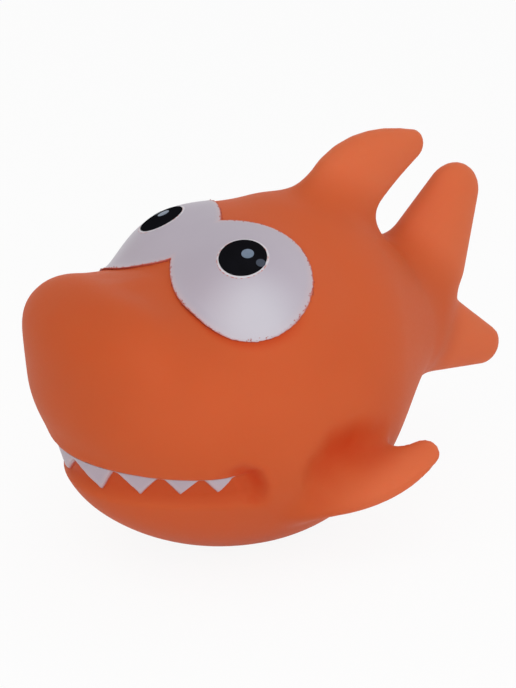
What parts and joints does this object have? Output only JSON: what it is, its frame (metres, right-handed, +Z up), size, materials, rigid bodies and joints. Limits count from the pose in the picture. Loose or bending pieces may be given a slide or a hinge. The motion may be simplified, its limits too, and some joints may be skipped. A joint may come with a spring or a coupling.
{
  "type": "squeaky dog toy",
  "caption": "Hollow soft vinyl shark-shaped squeaky dog toy with moulded fins, painted eyes and teeth, and a plastic squeaker clipped into the belly.",
  "frame": {"origin": "on the rest flat's plane, under the middle of the toy's bounding box", "axes": "+X from the nose to the tail, +Y to the toy's right side, +Z up from the belly flat"},
  "size_m": [0.139, 0.0922, 0.0919],
  "materials": {
    "vinyl": "soft orange vinyl, satin",
    "eye_paint": "sprayed off-white, satin",
    "pupil_paint": "black, glossy",
    "glint_paint": "pale blue-grey, glossy",
    "tooth_paint": "sprayed off-white, satin",
    "housing_plastic": "natural white, satin",
    "block_plastic": "light grey, satin",
    "reed_plastic": "grey strip, satin"
  },
  "bodies": {
    "toy": {"vinyl_skin": "vinyl", "eye_white": "eye_paint", "left_pupil": "pupil_paint", "right_pupil": "pupil_paint", "left_glints": "glint_paint", "right_glints": "glint_paint", "teeth": "tooth_paint", "squeaker_housing": "housing_plastic", "reed_block": "block_plastic"},
    "reed": {"reed_tongue": "reed_plastic"}
  },
  "joints": [
    {"name": "reed_flex", "type": "hinge", "parent": "toy", "child": "reed", "pos_m": [-0.01315, 0, 0.0056], "axis": [0, 1, 0], "range_deg": [-3, 3], "stiffness_Nm_per_rad": 0.0005}
  ]
}
